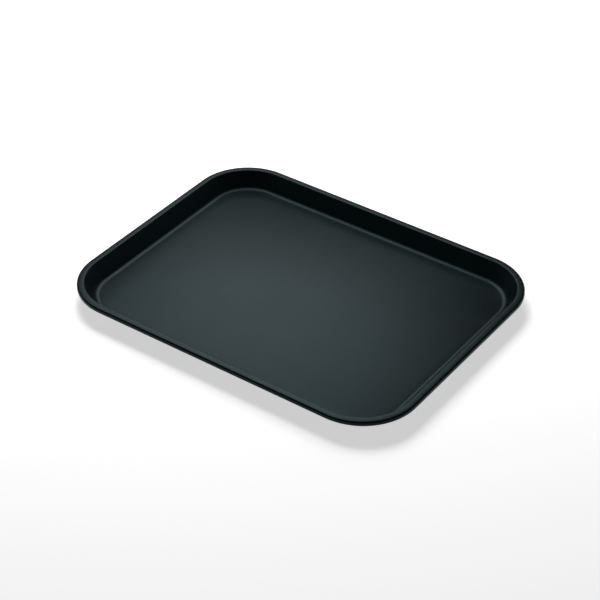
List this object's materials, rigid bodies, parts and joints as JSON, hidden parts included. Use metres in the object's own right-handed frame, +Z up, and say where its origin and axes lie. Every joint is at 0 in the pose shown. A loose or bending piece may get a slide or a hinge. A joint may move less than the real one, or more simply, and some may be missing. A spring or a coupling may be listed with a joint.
{
  "type": "serving tray",
  "caption": "Shallow rectangular serving tray with round corners, sloping walls, a turned-down rim and a rubber-lined floor.",
  "frame": {"origin": "under the middle of the tray, on the surface that it stands on", "axes": "+X along the long side, +Y across the tray, +Z up out of its open top"},
  "size_m": [0.4572, 0.3556, 0.0236],
  "materials": {
    "moulded_tray": "satin black, fine moulded grain",
    "rubber_lining": "satin black rubber, very fine pebble",
    "rim_wire": "drawn, zinc plated"
  },
  "bodies": {
    "root": {"tray_shell": "moulded_tray", "non_slip_liner": "rubber_lining", "rim_wire": "rim_wire"}
  },
  "joints": []
}
